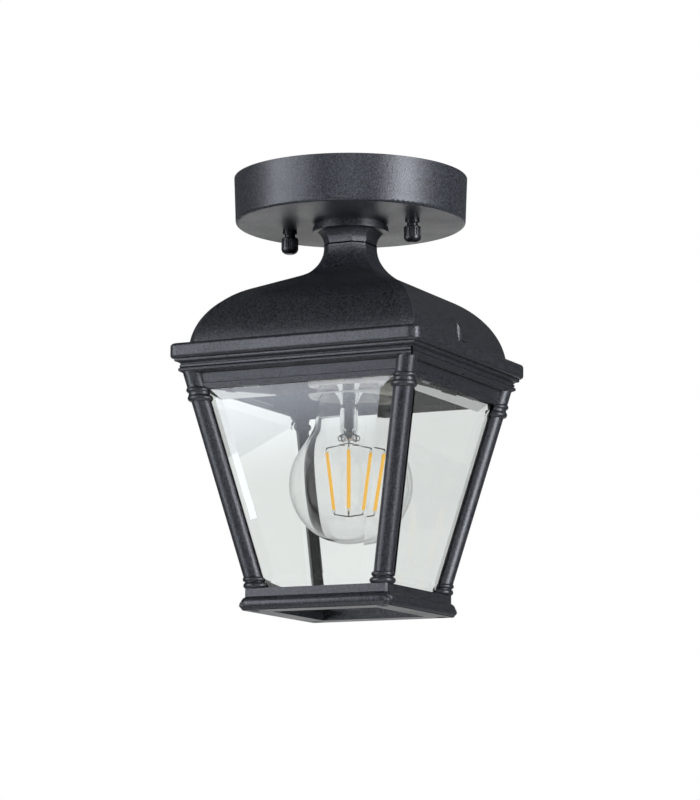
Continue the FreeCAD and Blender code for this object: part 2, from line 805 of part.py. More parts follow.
def bottom_frame():
    z_face = frame_top - frame_face_height
    nose = frame_half + bullnose_stand
    outline = rounded([(frame_half, frame_top), (frame_half, z_face, 0.5), (nose - 0.4, z_face - 0.7, 0.6),
                       (nose, z_face - 2.6, 0.9), (frame_foot_half, cage_foot)])
    body = squared(outline, 0.8)
    body = body.cut(block(opening_half, opening_half, -far, 0))
    recess = bottom_glass_half + seat_gap
    body = body.cut(block(recess, recess, cage_foot + opening_lip, 0))
    z_foot = frame_top - pane_step_depth
    slot_half = axis_at(frame_top) - post_head_radius + glass_slot_depth + glass_gap
    slot_face = axis_at(frame_top) + glass_face_stand + glass_gap
    for half_x, half_y in ((slot_half, slot_face), (slot_face, slot_half)):
        body = body.cut(block(half_x, half_y, z_foot - seat_gap, 0))
    head, foot = post_screw_places()
    for k in range(4):
        sink = countersink(cage_foot + 0.4, foot, -1)
        sink.rotate(vec(0, 0, 0), vec(0, 0, 1), 90 * k)
        body = body.cut(sink)
    return largest(solid_of(body))


def pane_clips():
    """Bent spring strips on the top frame's inner wall that press each pane's head outward."""
    wall = rim_half - frame_wall_inset
    z_top = parting - clip_top_drop
    z_bend = parting - clip_bend_drop
    z_head = pane_top() + clip_head_rise
    z_hold = parting - frieze_foot_drop + clip_hold_rise
    z_curl = z_hold - clip_curl_drop
    outer = wall - clip_wall_gap
    head = pane_back_at(z_head) - clip_pane_gap
    hold = pane_back_at(z_hold) - clip_pane_gap
    s = clip_sheet
    points = [(outer, z_top), (outer, z_bend), (head, z_head), (hold, z_hold), (hold - clip_curl, z_curl),
              (hold - clip_curl - s, z_curl + 0.2), (hold - s, z_hold + 0.2), (head - s, z_head + 0.1),
              (outer - s, z_bend + 0.1), (outer - s, z_top)]
    face = Part.Face(Part.makePolygon([vec(0, -h, z) for h, z in points + points[:1]]))
    strip = face.extrude(vec(clip_width, 0, 0))
    clips = []
    for k in range(4):
        for side in (-1, 1):
            clip = strip.copy()
            clip.translate(vec(side * wall * 0.5 - clip_width / 2, 0, 0))
            clip.rotate(vec(0, 0, 0), vec(0, 0, 1), 90 * k)
            clips.append(clip)
    return Part.makeCompound(clips)


# ---- lamp holder ----
def holder_cap():
    top = -cap_top_drop
    neck = top - cap_neck_height
    foot = -holder_top_drop
    s = cap_sheet
    bore = nipple_radius + fit / 2
    cap = turned([(bore, top), (cap_neck_radius, top), (cap_neck_radius, neck),
                  (cap_radius, neck - 3.0, 3.0),
                  (cap_radius, foot), (cap_radius - s, foot), (cap_radius - s, neck - 3.0 - s),
                  (cap_neck_radius, neck - s), (bore, neck - s), (bore, top)])
    screw_hole = Part.makeCylinder(0.9, 8, vec(cap_neck_radius + 1, 0, top - 2.0), vec(-1, 0, 0))
    return cap.cut(screw_hole)


def holder_body():
    top = -holder_top_drop
    rim = -holder_rim_drop
    bore = bulb_cap_radius + fit + shell_wall + fit
    mouth = bore + holder_mouth_flare
    body = turned([(0, top), (holder_shoulder_radius, top), (holder_body_radius, top - 6.0, 3.0),
                   (holder_body_radius, rim + holder_rim_height + 2.5),
                   (holder_rim_radius, rim + holder_rim_height),
                   (holder_rim_radius, rim, 1.4), (mouth, rim), (bore, rim + holder_mouth_flare),
                   (bore, -holder_floor_drop), (0, -holder_floor_drop)])
    for side in (-1, 1):
        body = body.cut(rod(lead_radius + 0.4, side * holder_lead_offset, 0,
                            -holder_floor_drop - 1, top + 1))
    body = body.cut(rod(1.6 + fit / 2, 0, 0, -holder_floor_drop - 1, top + 1))
    return body


def screw_shell():
    outer = bulb_cap_radius + fit + shell_wall
    inner = bulb_cap_radius + fit
    top = -holder_floor_drop
    foot = -holder_rim_drop + 4.0
    return turned([(outer, top), (outer, foot + 0.7, 0.3), (outer + 0.05, foot), (inner + 0.05, foot),
                   (inner, foot + 0.7), (inner, top - shell_wall), (inner - 4.0, top - shell_wall),
                   (inner - 4.0, top), (outer, top)])


def centre_contact():
    """A brass tongue under the holder's floor, bent down to meet the bulb's tip, on a rivet."""
    floor = -holder_floor_drop
    tip = bulb_cap_top + 0.12
    s = contact_sheet
    side = [(-5.6, floor), (5.6, floor), (5.6, floor - s), (0.8, floor - s), (2.4, tip + s), (5.0, tip + s),
            (5.0, tip), (1.6, tip), (-1.0, floor - s), (-5.6, floor - s)]
    face = Part.Face(Part.makePolygon([vec(x, -contact_width / 2, z) for x, z in side + side[:1]]))
    tongue = face.extrude(vec(0, contact_width, 0))
    rivet = rod(1.6, 0, 0, floor, -holder_top_drop + 0.6)
    return solid_of(tongue.fuse(rivet))


def set_screw():
    z = -cap_top_drop - 2.0
    screw = Part.makeCylinder(0.85, cap_neck_radius - nipple_radius + 0.9, vec(nipple_radius + 0.05, 0, z),
                              vec(1, 0, 0))
    slot = Part.makeBox(0.6, 2.0, 0.4, vec(cap_neck_radius + 0.5, -1.0, z - 0.2))
    return screw.cut(slot)


# ---- bulb ----
def envelope_solid(shrink):
    """The bulb's outline turned: shoulder, neck and flare, tangent to the globe."""
    joint = -bulb_joint_drop
    flare = math.radians(bulb_flare)
    centre = -bulb_tip_drop + bulb_radius
    r = bulb_radius - shrink
    neck = bulb_neck_radius - shrink
    meet = vec(r * math.cos(flare), 0, centre + r * math.sin(flare))
    neck_foot = meet.z + (meet.x - neck) / math.tan(flare)
    edges = rounded([(0, joint), (bulb_joint_radius - shrink, joint),
                     (bulb_shoulder_radius - shrink, joint - bulb_shoulder_height, 6.0),
                     (neck, neck_foot, 15.0), (meet.x, meet.z)])
    side = vec(r * math.cos(flare - 1), 0, centre + r * math.sin(flare - 1))
    edges.append(Part.Arc(meet, side, vec(0, 0, centre - r)).toShape())
    edges.append(Part.makeLine(vec(0, 0, centre - r), vec(0, 0, joint)))
    return Part.Face(Part.Wire(edges)).revolve(vec(0, 0, 0), vec(0, 0, 1), 360)


def bulb_glass():
    return envelope_solid(0).cut(envelope_solid(bulb_wall))


def bulb_cap():
    joint = -bulb_joint_drop
    w = bulb_cap_wall
    r = bulb_cap_radius
    seat = bulb_seat_radius
    return turned([(seat, bulb_cap_top - 1.6), (seat + 1.2, bulb_cap_top - 2.2), (r, bulb_cap_top - 5.5),
                   (r, joint), (r - w, joint), (r - w, bulb_cap_top - 6.0), (seat, bulb_cap_top - 2.9),
                   (seat, bulb_cap_top - 1.6)])


def bulb_insulator():
    z = bulb_cap_top
    return turned([(bulb_contact_radius, z - 0.5), (bulb_contact_radius + 0.9, z - 0.5),
                   (bulb_seat_radius, z - 2.0), (bulb_seat_radius, z - 3.6), (bulb_contact_radius, z - 3.6),
                   (bulb_contact_radius, z - 0.5)])


def bulb_contact():
    z = bulb_cap_top
    return turned([(0, z), (2.0, z), (bulb_contact_radius, z - 0.9), (bulb_contact_radius, z - 3.0),
                   (0, z - 3.0)])


def bulb_stem():
    joint = -bulb_joint_drop
    foot = -stem_foot_drop
    flare = bulb_joint_radius - bulb_wall - 0.15
    return turned([(0, joint - 0.4), (flare, joint - 0.4), (flare, joint - 1.4),
                   (stem_radius, joint - 9.0, 6.0),
                   (stem_radius, foot + 6.0), (1.6, foot), (0, foot)])


def filament_ends(k):
    angle = math.radians(filament_turn + 360 / filament_count * k)
    top = vec(filament_top_spread * math.cos(angle), filament_top_spread * math.sin(angle),
              -filament_top_drop)
    foot = vec(filament_foot_spread * math.cos(angle), filament_foot_spread * math.sin(angle),
               -filament_foot_drop)
    return top, foot


def bulb_filaments():
    sticks = []
    for k in range(filament_count):
        top, foot = filament_ends(k)
        run = foot - top
        sticks.append(Part.makeCylinder(filament_radius, run.Length, top, run))
    return Part.makeCompound(sticks)


def wire_run(points, radius):
    """A straight-run wire with ball joints at its bends."""
    wire = None
    for a, b in zip(points, points[1:]):
        piece = Part.makeCylinder(radius, (b - a).Length, a, b - a)
        wire = piece if wire is None else wire.fuse(piece)
    for p in points[1:-1]:
        wire = wire.fuse(Part.makeSphere(radius, p))
    return wire


def bulb_wires():
    """The support wires: a spider from the stem to the heads, and a ring that ties the feet."""
    hub = vec(0, 0, -stem_foot_drop)
    foot_hub = vec(0, 0, -filament_foot_drop - 2.0)
    spider = wire_run([hub, foot_hub], wire_radius)
    for k in range(filament_count):
        top, foot = filament_ends(k)
        run = (foot - top).normalize()
        head_end = top - run * 0.9
        foot_end = foot + run * 0.9
        spider = spider.fuse(wire_run([vec(0, 0, -stem_foot_drop - 0.6), head_end, top], wire_radius))
        spider = spider.fuse(wire_run([foot_hub, foot_end, foot], wire_radius))
    return solid_of(spider)


# ---- leads ----
def lead(side):
    """One insulated lead: holder, up the nipple, over in the canopy, into its connector."""
    start = vec(side * holder_lead_offset, 0, -holder_top_drop - 3.0)
    knee = vec(side * holder_lead_offset, 0, -holder_top_drop + 4.0)
    entry = vec(side * lead_offset, 0, -cap_top_drop - cap_neck_height - 2.2)
    rise = vec(side * lead_offset, 0, -lead_run_drop)
    turn = vec(side * lead_offset, -side * lead_reach, -lead_run_drop)
    edges = []
    corners = [start, knee, entry, rise, turn]
    radii = [0, 4.2, 4.2, lead_bend, 0]
    last = corners[0]
    for k in range(1, 4):
        here = corners[k]
        u = (corners[k - 1] - here).normalize()
        v = (corners[k + 1] - here).normalize()
        half = math.acos(u.dot(v)) / 2
        reach = radii[k] / math.tan(half)
        a = here + u * reach
        b = here + v * reach
        middle = here + (u + v).normalize() * (radii[k] / math.sin(half) - radii[k])
        edges.append(Part.makeLine(last, a))
        edges.append(Part.Arc(a, middle, b).toShape())
        last = b
    edges.append(Part.makeLine(last, corners[-1]))
    path = Part.Wire(edges)
    circle = Part.Wire(Part.makeCircle(lead_radius, start, vec(0, 0, 1)))
    return path.makePipeShell([circle], True, False)


def wire_connectors():
    """Twist-on connectors on the leads' ends, lying in the canopy."""
    cones = []
    for side in (-1, 1):
        cone = turned([(0, 0), (connector_mouth_radius, 0), (connector_mouth_radius, 3.0),
                       (connector_radius - 2.0, connector_length, 1.0), (0, connector_length)])
        cone.rotate(vec(0, 0, 0), vec(1, 0, 0), 90 * side)
        cone.translate(vec(side * lead_offset, -side * (lead_reach + 0.05), -lead_run_drop))
        cones.append(cone)
    return Part.makeCompound(cones)


def build():
    os.makedirs("parts", exist_ok=True)
    save("canopy", canopy())
    save("mounting_crossbar", crossbar())
    save("canopy_studs", canopy_studs())
    save("stud_locknuts", stud_locknuts())
    save("ground_screw", ground_screw())
    save("cap_nut_left", cap_nut(-1))
    save("cap_nut_right", cap_nut(1))
    save("threaded_nipple", threaded_nipple())
    save("nipple_nuts", nipple_nuts())
    save("lock_washer", lock_washer())
    save("neck_collar", neck_collar())
    save("roof", roof())
    save("cage_screw_left", cage_screw(-1))
    save("cage_screw_right", cage_screw(1))
    save("top_frame", top_frame())
    for name, shape in at_corners(post()).items():
        save("post_" + name, shape)
    save("post_screws_head", post_screws(1))
    save("post_screws_foot", post_screws(-1))
    save("bottom_frame", bottom_frame())
    for name, shape in glass_panes().items():
        save(name, shape)
    save("glass_bottom", bottom_glass())
    save("pane_clips", pane_clips())
    save("lamp_holder_cap", holder_cap())
    save("lamp_holder_body", holder_body())
    save("screw_shell", screw_shell())
    save("centre_contact", centre_contact())
    save("holder_set_screw", set_screw())
    save("bulb_glass", bulb_glass())
    save("bulb_cap", bulb_cap())
    save("bulb_insulator", bulb_insulator())
    save("bulb_contact", bulb_contact())
    save("bulb_stem", bulb_stem())
    save("bulb_filaments", bulb_filaments())
    save("bulb_wires", bulb_wires())
    save("lead_black", lead(-1))
    save("lead_white", lead(1))
    save("wire_connectors", wire_connectors())


build()
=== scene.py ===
import json
import math
import bpy
from mathutils import Matrix, Vector


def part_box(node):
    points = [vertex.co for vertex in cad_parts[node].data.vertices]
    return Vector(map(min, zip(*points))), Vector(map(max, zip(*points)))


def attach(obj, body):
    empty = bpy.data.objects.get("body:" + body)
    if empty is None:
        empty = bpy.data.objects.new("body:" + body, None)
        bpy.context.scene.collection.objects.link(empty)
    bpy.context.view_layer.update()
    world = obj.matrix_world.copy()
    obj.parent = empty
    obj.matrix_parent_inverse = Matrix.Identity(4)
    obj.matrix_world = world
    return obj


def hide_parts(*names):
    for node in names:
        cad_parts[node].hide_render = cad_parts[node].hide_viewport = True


# Porch ceiling lantern: the camera and light of a plain studio, the finishes, and the small pieces
# that the construction leaves to the eye, such as threads and the wires inside the bulb.

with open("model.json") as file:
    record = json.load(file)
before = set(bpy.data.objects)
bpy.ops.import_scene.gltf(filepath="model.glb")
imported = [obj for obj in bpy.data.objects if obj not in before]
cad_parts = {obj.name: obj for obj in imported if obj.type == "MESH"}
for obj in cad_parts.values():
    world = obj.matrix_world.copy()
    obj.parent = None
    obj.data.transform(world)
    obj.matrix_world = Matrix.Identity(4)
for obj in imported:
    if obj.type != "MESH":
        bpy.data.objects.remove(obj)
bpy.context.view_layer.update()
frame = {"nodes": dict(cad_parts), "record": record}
nodes = frame["nodes"]
mm = 0.001


def paint(hexCode):  # sRGB hex to the linear colour that the shader wants
    channels = [int(hexCode[i:i + 2], 16) / 255 for i in (1, 3, 5)]
    linear = [c / 12.92 if c <= 0.04045 else ((c + 0.055) / 1.055) ** 2.4 for c in channels]
    return (*linear, 1.0)


def addNode(tree, kind, settings=None, links=None):
    node = tree.nodes.new(kind)
    for key, value in (settings or {}).items():
        if isinstance(key, int) or key in node.inputs:
            node.inputs[key].default_value = value
        else:
            setattr(node, key, value)
    for key, source in (links or {}).items():
        tree.links.new(source, node.inputs[key])
    return node


def newMaterial(name):
    material = bpy.data.materials.new(name)
    material.use_nodes = True
    material.node_tree.nodes.clear()
    return material, material.node_tree


def smoothMesh(name, points, faces):
    mesh = bpy.data.meshes.new(name)
    mesh.from_pydata(points, [], faces)
    mesh.shade_smooth()
    return mesh


def addPiece(name, mesh, finishName, body):
    mesh.materials.append(made[finishName])
    piece = bpy.data.objects.new(name, mesh)
    bpy.context.scene.collection.objects.link(piece)
    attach(piece, body)
    return piece


def ringAt(radius, z, around):
    angles = [2 * math.pi * k / around for k in range(around)]
    return [(radius * math.cos(a), radius * math.sin(a), z) for a in angles]


def bandFaces(rings, around, first=0):  # joins each ring to the next, and the last to the first
    faces = []
    for i in range(rings):
        j = (i + 1) % rings
        for k in range(around):
            m = (k + 1) % around
            corners = (i * around + k, i * around + m, j * around + m, j * around + k)
            faces.append(tuple(first + corner for corner in corners))
    return faces


# a long lens, in front and to the right of the lantern and a little below it
camera = {
    "place": (0.67706, -1.40479, -0.36134),  # metres from the centre of the canopy's ceiling face
    "target": (0.0, 0.0, -0.1148),
    "rollDegrees": 0.199,
    "lensMm": 139.42,
    "sensorMm": 36.0,
    "nearest": 0.05,
}


def placeCamera(view):
    data = bpy.data.cameras.new("studioCamera")
    data.lens = view["lensMm"]
    data.sensor_fit = "VERTICAL"
    data.sensor_height = view["sensorMm"]
    data.clip_start = view["nearest"]
    eye = bpy.data.objects.new("studioCamera", data)
    bpy.context.scene.collection.objects.link(eye)
    look = (Vector(view["target"]) - Vector(view["place"])).to_track_quat("-Z", "Y").to_matrix().to_4x4()
    roll = Matrix.Rotation(math.radians(view["rollDegrees"]), 4, "Z")
    eye.matrix_world = Matrix.Translation(view["place"]) @ look @ roll
    bpy.context.scene.camera = eye


placeCamera(camera)
print("camera placed")


# a pale floor, a white backdrop, soft boxes, and a cloth that the front pane mirrors
studio = {
    "floorDrop": 1.75,        # well below the lantern, out of sight for a camera that looks up
    "floorSize": 60.0,
    "floorColour": "#f4f4f3",
    "floorMottle": 60.0,      # how fine the roller's marks are
    "floorRough": (0.80, 0.86),
    "floorGlow": 0.55,        # how much of the backdrop's white a floor that is looked at shows
    "backdrop": "#ffffff",
    "ambient": "#cfd2d6",     # what lights the lantern evenly
    "ambientStrength": 0.10,
    "mirrored": 0.10,         # how much of the backdrop the black coat mirrors
    "mirrorFade": 0.2,        # how much each mirroring takes from the backdrop seen through glass
}
softBoxes = {                 # direction from the lantern, distance, width, height, radiance, colour
    "keyLeft": ((-0.76, -0.65, 0.02), 1.5, 0.60, 1.05, 6.2, "#f0f4ff"),
    "keyHigh": ((-0.43, -0.88, 0.17), 1.6, 0.60, 0.34, 6.6, "#eef3ff"),
    "keyRight": ((0.97, -0.18, 0.02), 1.4, 0.60, 1.10, 13.0, "#f2f5ff"),
    "frontFill": ((0.40, -0.90, 0.15), 2.0, 0.80, 0.70, 2.2, "#eef3ff"),
    "backPanel": ((-0.43, 0.89, -0.16), 2.0, 1.90, 1.00, 0.85, "#ffffff"),
    "lowFill": ((0.05, -0.30, -1.0), 1.4, 1.20, 1.20, 1.1, "#fffdf8"),
}
veilCloth = {                 # a lit cloth that the front pane mirrors; it fades out downwards
    "direction": (-0.43, -0.87, -0.245), "distance": 2.1, "halfWidth": 0.30, "top": 0.24, "bottom": -0.36,
    "fadeFrom": -0.08, "fadeTo": 0.05, "radiance": 8.0, "colour": "#eaf1ff",
}


def buildWorld(room):
    world = bpy.data.worlds.new("studioWorld")
    bpy.context.scene.world = world
    world.use_nodes = True
    tree = world.node_tree
    tree.nodes.clear()
    path = addNode(tree, "ShaderNodeLightPath")
    mirrored = addNode(tree, "ShaderNodeMath", {"operation": "MULTIPLY", 1: room["mirrorFade"]},
                       {0: path.outputs["Glossy Depth"]})
    depth = addNode(tree, "ShaderNodeMath", {"operation": "ADD"},
                    {0: path.outputs["Diffuse Depth"], 1: mirrored.outputs[0]})
    bounced = addNode(tree, "ShaderNodeMath", {"operation": "SUBTRACT", "use_clamp": True, 0: 1.0},
                      {1: depth.outputs[0]})
    through = addNode(tree, "ShaderNodeMath", {"operation": "MULTIPLY"},
                      {0: path.outputs["Is Transmission Ray"], 1: bounced.outputs[0]})
    seen = addNode(tree, "ShaderNodeMath", {"operation": "ADD", "use_clamp": True},
                   {0: path.outputs["Is Camera Ray"], 1: through.outputs[0]})
    gloss = addNode(tree, "ShaderNodeMath", {"operation": "MULTIPLY", 1: room["mirrored"]},
                    {0: path.outputs["Is Glossy Ray"]})
    white = addNode(tree, "ShaderNodeMath", {"operation": "MAXIMUM", "use_clamp": True},
                    {0: seen.outputs[0], 1: gloss.outputs[0]})
    even = addNode(tree, "ShaderNodeMath", {"operation": "MULTIPLY", 1: room["ambientStrength"]},
                   {0: path.outputs["Is Diffuse Ray"]})
    backdrop = addNode(tree, "ShaderNodeBackground", {"Color": paint(room["backdrop"])},
                       {"Strength": white.outputs[0]})
    ambient = addNode(tree, "ShaderNodeBackground", {"Color": paint(room["ambient"])},
                      {"Strength": even.outputs[0]})
    both = addNode(tree, "ShaderNodeAddShader", None, {0: backdrop.outputs[0], 1: ambient.outputs[0]})
    addNode(tree, "ShaderNodeOutputWorld", None, {"Surface": both.outputs[0]})


def buildFloor(room):
    half = room["floorSize"] / 2
    z = -room["floorDrop"]
    mesh = bpy.data.meshes.new("studioFloor")
    mesh.from_pydata([(-half, -half, z), (half, -half, z), (half, half, z), (-half, half, z)], [],
                     [(0, 1, 2, 3)])
    floor = bpy.data.objects.new("studioFloor", mesh)
    bpy.context.scene.collection.objects.link(floor)
    material, tree = newMaterial("palePaintedFloor")  # flat emulsion: even, with a faint roller mottle
    coords = addNode(tree, "ShaderNodeTexCoord")
    mottle = addNode(tree, "ShaderNodeTexNoise", {"Scale": room["floorMottle"], "Detail": 2.0},
                     {"Vector": coords.outputs["Object"]})
    shade = addNode(tree, "ShaderNodeMapRange",
                    {"To Min": room["floorRough"][0], "To Max": room["floorRough"][1]},
                    {"Value": mottle.outputs[0]})
    shader = addNode(tree, "ShaderNodeBsdfPrincipled", {"Base Color": paint(room["floorColour"])},
                     {"Roughness": shade.outputs[0]})
    path = addNode(tree, "ShaderNodeLightPath")
    glow = addNode(tree, "ShaderNodeEmission", {"Color": paint(room["backdrop"])})
    lift = addNode(tree, "ShaderNodeMath", {"operation": "ADD", "use_clamp": True},
                   {0: path.outputs["Is Camera Ray"], 1: path.outputs["Is Transmission Ray"]})
    shown = addNode(tree, "ShaderNodeMath", {"operation": "MULTIPLY", 1: room["floorGlow"]},
                    {0: lift.outputs[0]})
    mixed = addNode(tree, "ShaderNodeMixShader", None,
                    {0: shown.outputs[0], 1: shader.outputs[0], 2: glow.outputs[0]})
    addNode(tree, "ShaderNodeOutputMaterial", None, {"Surface": mixed.outputs[0]})
    mesh.materials.append(material)


def buildSoftBoxes(boxes):
    middle = Vector(camera["target"])
    for name, (direction, distance, width, height, radiance, colour) in boxes.items():
        data = bpy.data.lights.new(name, "AREA")
        data.shape = "RECTANGLE"
        data.size = width
        data.size_y = height
        data.color = paint(colour)[:3]
        data.energy = radiance * math.pi * width * height  # a lamp this size then shines at that radiance
        lamp = bpy.data.objects.new(name, data)
        bpy.context.scene.collection.objects.link(lamp)
        place = middle + Vector(direction).normalized() * distance
        facing = (middle - place).to_track_quat("-Z", "Y").to_matrix().to_4x4()
        lamp.matrix_world = Matrix.Translation(place) @ facing
        lamp.visible_camera = False
        lamp.visible_transmission = False


def hangCloth(sheet):
    middle = Vector(camera["target"])
    place = middle + Vector(sheet["direction"]).normalized() * sheet["distance"]
    mesh = bpy.data.meshes.new("veilCloth")
    half, low, high = sheet["halfWidth"], sheet["bottom"], sheet["top"]
    mesh.from_pydata([(-half, low, 0), (half, low, 0), (half, high, 0), (-half, high, 0)], [],
                     [(0, 1, 2, 3)])
    cloth = bpy.data.objects.new("veilCloth", mesh)
    bpy.context.scene.collection.objects.link(cloth)
    facing = (place - middle).to_track_quat("-Z", "Y").to_matrix().to_4x4()
    cloth.matrix_world = Matrix.Translation(place) @ facing
    material, tree = newMaterial("litCloth")  # thin white cloth lit from behind: an even glow that dies away
    coords = addNode(tree, "ShaderNodeTexCoord")
    axis = addNode(tree, "ShaderNodeSeparateXYZ", None, {"Vector": coords.outputs["Object"]})
    fade = addNode(tree, "ShaderNodeMapRange",
                   {"interpolation_type": "SMOOTHSTEP", "From Min": sheet["fadeFrom"],
                    "From Max": sheet["fadeTo"],
                    "To Min": 0.0, "To Max": sheet["radiance"]}, {"Value": axis.outputs["Y"]})
    glow = addNode(tree, "ShaderNodeEmission", {"Color": paint(sheet["colour"])},
                   {"Strength": fade.outputs[0]})
    addNode(tree, "ShaderNodeOutputMaterial", None, {"Surface": glow.outputs[0]})
    mesh.materials.append(material)
    cloth.visible_camera = False
    cloth.visible_transmission = False
    cloth.visible_shadow = False


buildWorld(studio)
buildFloor(studio)
buildSoftBoxes(softBoxes)
hangCloth(veilCloth)
bpy.context.scene.view_settings.view_transform = "Standard"
print("studio lit")


# Each opaque finish has two tones that a grain mixes, a relief in millimetres, and a roughness that
# drifts over the piece as handling and dust make it. Grain sizes are real, or as coarse as shows.
finishes = {
    # sand-textured polyester powder, baked on a casting: dry black with pin-prick glints
    "powderCoatOnCasting": {"tones": ("#060607", "#3a3c41"), "grainMm": 0.95, "reliefMm": 0.10,
                            "peelMm": 5.0, "peelReliefMm": 0.03, "rough": (0.32, 0.42), "ior": 1.56},
    # the same powder on smooth pressed sheet lies flatter; its tones are set lighter than on the casting as
    # painted light, for the extra light the canopy catches
    "powderCoatOnSheet": {"tones": ("#0d0e10", "#42454b"), "grainMm": 0.90, "reliefMm": 0.08,
                          "peelMm": 6.0, "peelReliefMm": 0.02, "rough": (0.34, 0.44), "ior": 1.58},
    # the thin film on small turned nuts, rubbed a little shinier by fingers
    "powderCoatOnNuts": {"tones": ("#08080a", "#18181b"), "grainMm": 0.60, "reliefMm": 0.06,
                         "peelMm": 3.0, "peelReliefMm": 0.03, "rough": (0.24, 0.36), "ior": 1.54},
    # hot black oxide on screws: satin, slightly brown where it thins
    "blackOxide": {"tones": ("#1b1a1a", "#2d2a28"), "grainMm": 0.30, "reliefMm": 0.01,
                   "peelMm": 2.0, "peelReliefMm": 0.01, "rough": (0.30, 0.40), "metal": 0.85},
    # bright zinc on stamped steel: cool, a little cloudy
    "brightZinc": {"tones": ("#aeb3ba", "#c9ccd0"), "grainMm": 0.60, "reliefMm": 0.01,
                   "peelMm": 5.0, "peelReliefMm": 0.02, "rough": (0.24, 0.40), "metal": 1.0},
    # bare spring strip: rolled, with the mill's lines along it
    "springStrip": {"tones": ("#7f8286", "#a3a6a9"), "grainMm": 0.25, "reliefMm": 0.01,
                    "stretch": (1, 1, 0.05), "peelMm": 4.0, "peelReliefMm": 0.01,
                    "rough": (0.22, 0.34), "metal": 1.0},
    # green lacquer that marks the earth screw
    "earthGreenLacquer": {"tones": ("#1f7a3a", "#2c9048"), "grainMm": 0.40, "reliefMm": 0.01,
                          "peelMm": 2.0, "peelReliefMm": 0.02, "rough": (0.20, 0.30)},
    # spun aluminium shell: fine turning lines round the axis
    "spunAluminium": {"tones": ("#b9bab9", "#d3d4d2"), "grainMm": 0.30, "reliefMm": 0.02,
                      "stretch": (0.03, 0.03, 1), "peelMm": 5.0, "peelReliefMm": 0.01,
                      "rough": (0.25, 0.36), "metal": 1.0},
    # glazed electrical porcelain: warm white, glassy, faintly pitted
    "glazedPorcelain": {"tones": ("#e3ddcf", "#efeadf"), "grainMm": 1.20, "reliefMm": 0.02,
                        "peelMm": 7.0, "peelReliefMm": 0.05, "rough": (0.10, 0.20), "ior": 1.54},
    # deep-drawn brass: yellow, dulled by handling
    "drawnBrass": {"tones": ("#c79a4b", "#d9b163"), "grainMm": 0.50, "reliefMm": 0.02,
                   "stretch": (0.05, 0.05, 1), "peelMm": 5.0, "peelReliefMm": 0.01,
                   "rough": (0.24, 0.36), "metal": 1.0},
    # nickel plate on the bulb's cap: bright and warm grey
    "nickelPlate": {"tones": ("#b5b1a8", "#cbc7bd"), "grainMm": 0.50, "reliefMm": 0.01,
                    "peelMm": 4.0, "peelReliefMm": 0.02, "rough": (0.18, 0.28), "metal": 1.0},
    # black glass insulator, poured and fire polished
    "vitrite": {"tones": ("#0b0b0d", "#17171a"), "grainMm": 1.00, "reliefMm": 0.02,
                "peelMm": 3.0, "peelReliefMm": 0.03, "rough": (0.08, 0.16)},
    # tin on the centre contact: soft grey, uneven from soldering
    "solderTin": {"tones": ("#9d9d9b", "#bcbcb8"), "grainMm": 0.60, "reliefMm": 0.05,
                  "peelMm": 2.0, "peelReliefMm": 0.08, "rough": (0.30, 0.45), "metal": 1.0},
    # nickel-iron lead wire, oxidised a little by sealing into glass
    "nickelIronWire": {"tones": ("#6d6b68", "#8d8a85"), "grainMm": 0.30, "reliefMm": 0.01,
                       "peelMm": 2.0, "peelReliefMm": 0.01, "rough": (0.28, 0.40), "metal": 1.0},
    # silicone rubber insulation: dull and a little greasy
    "siliconeBlack": {"tones": ("#121212", "#1e1e1e"), "grainMm": 0.50, "reliefMm": 0.02,
                      "peelMm": 6.0, "peelReliefMm": 0.04, "rough": (0.42, 0.55)},
    "siliconeWhite": {"tones": ("#d9d8d2", "#e8e7e1"), "grainMm": 0.50, "reliefMm": 0.02,
                      "peelMm": 6.0, "peelReliefMm": 0.04, "rough": (0.42, 0.55)},
    # moulded polypropylene connector
    "mouldedOrange": {"tones": ("#cf6a1c", "#de7a2a"), "grainMm": 0.60, "reliefMm": 0.02,
                      "peelMm": 3.0, "peelReliefMm": 0.03, "rough": (0.32, 0.44)},
}
# the parts of the two noises that show: how far the roughness drifts, and how hard the grain's tones part
coatSpread = {"driftMm": 45, "driftRange": (0.32, 0.68), "grainRange": (0.38, 0.66)}


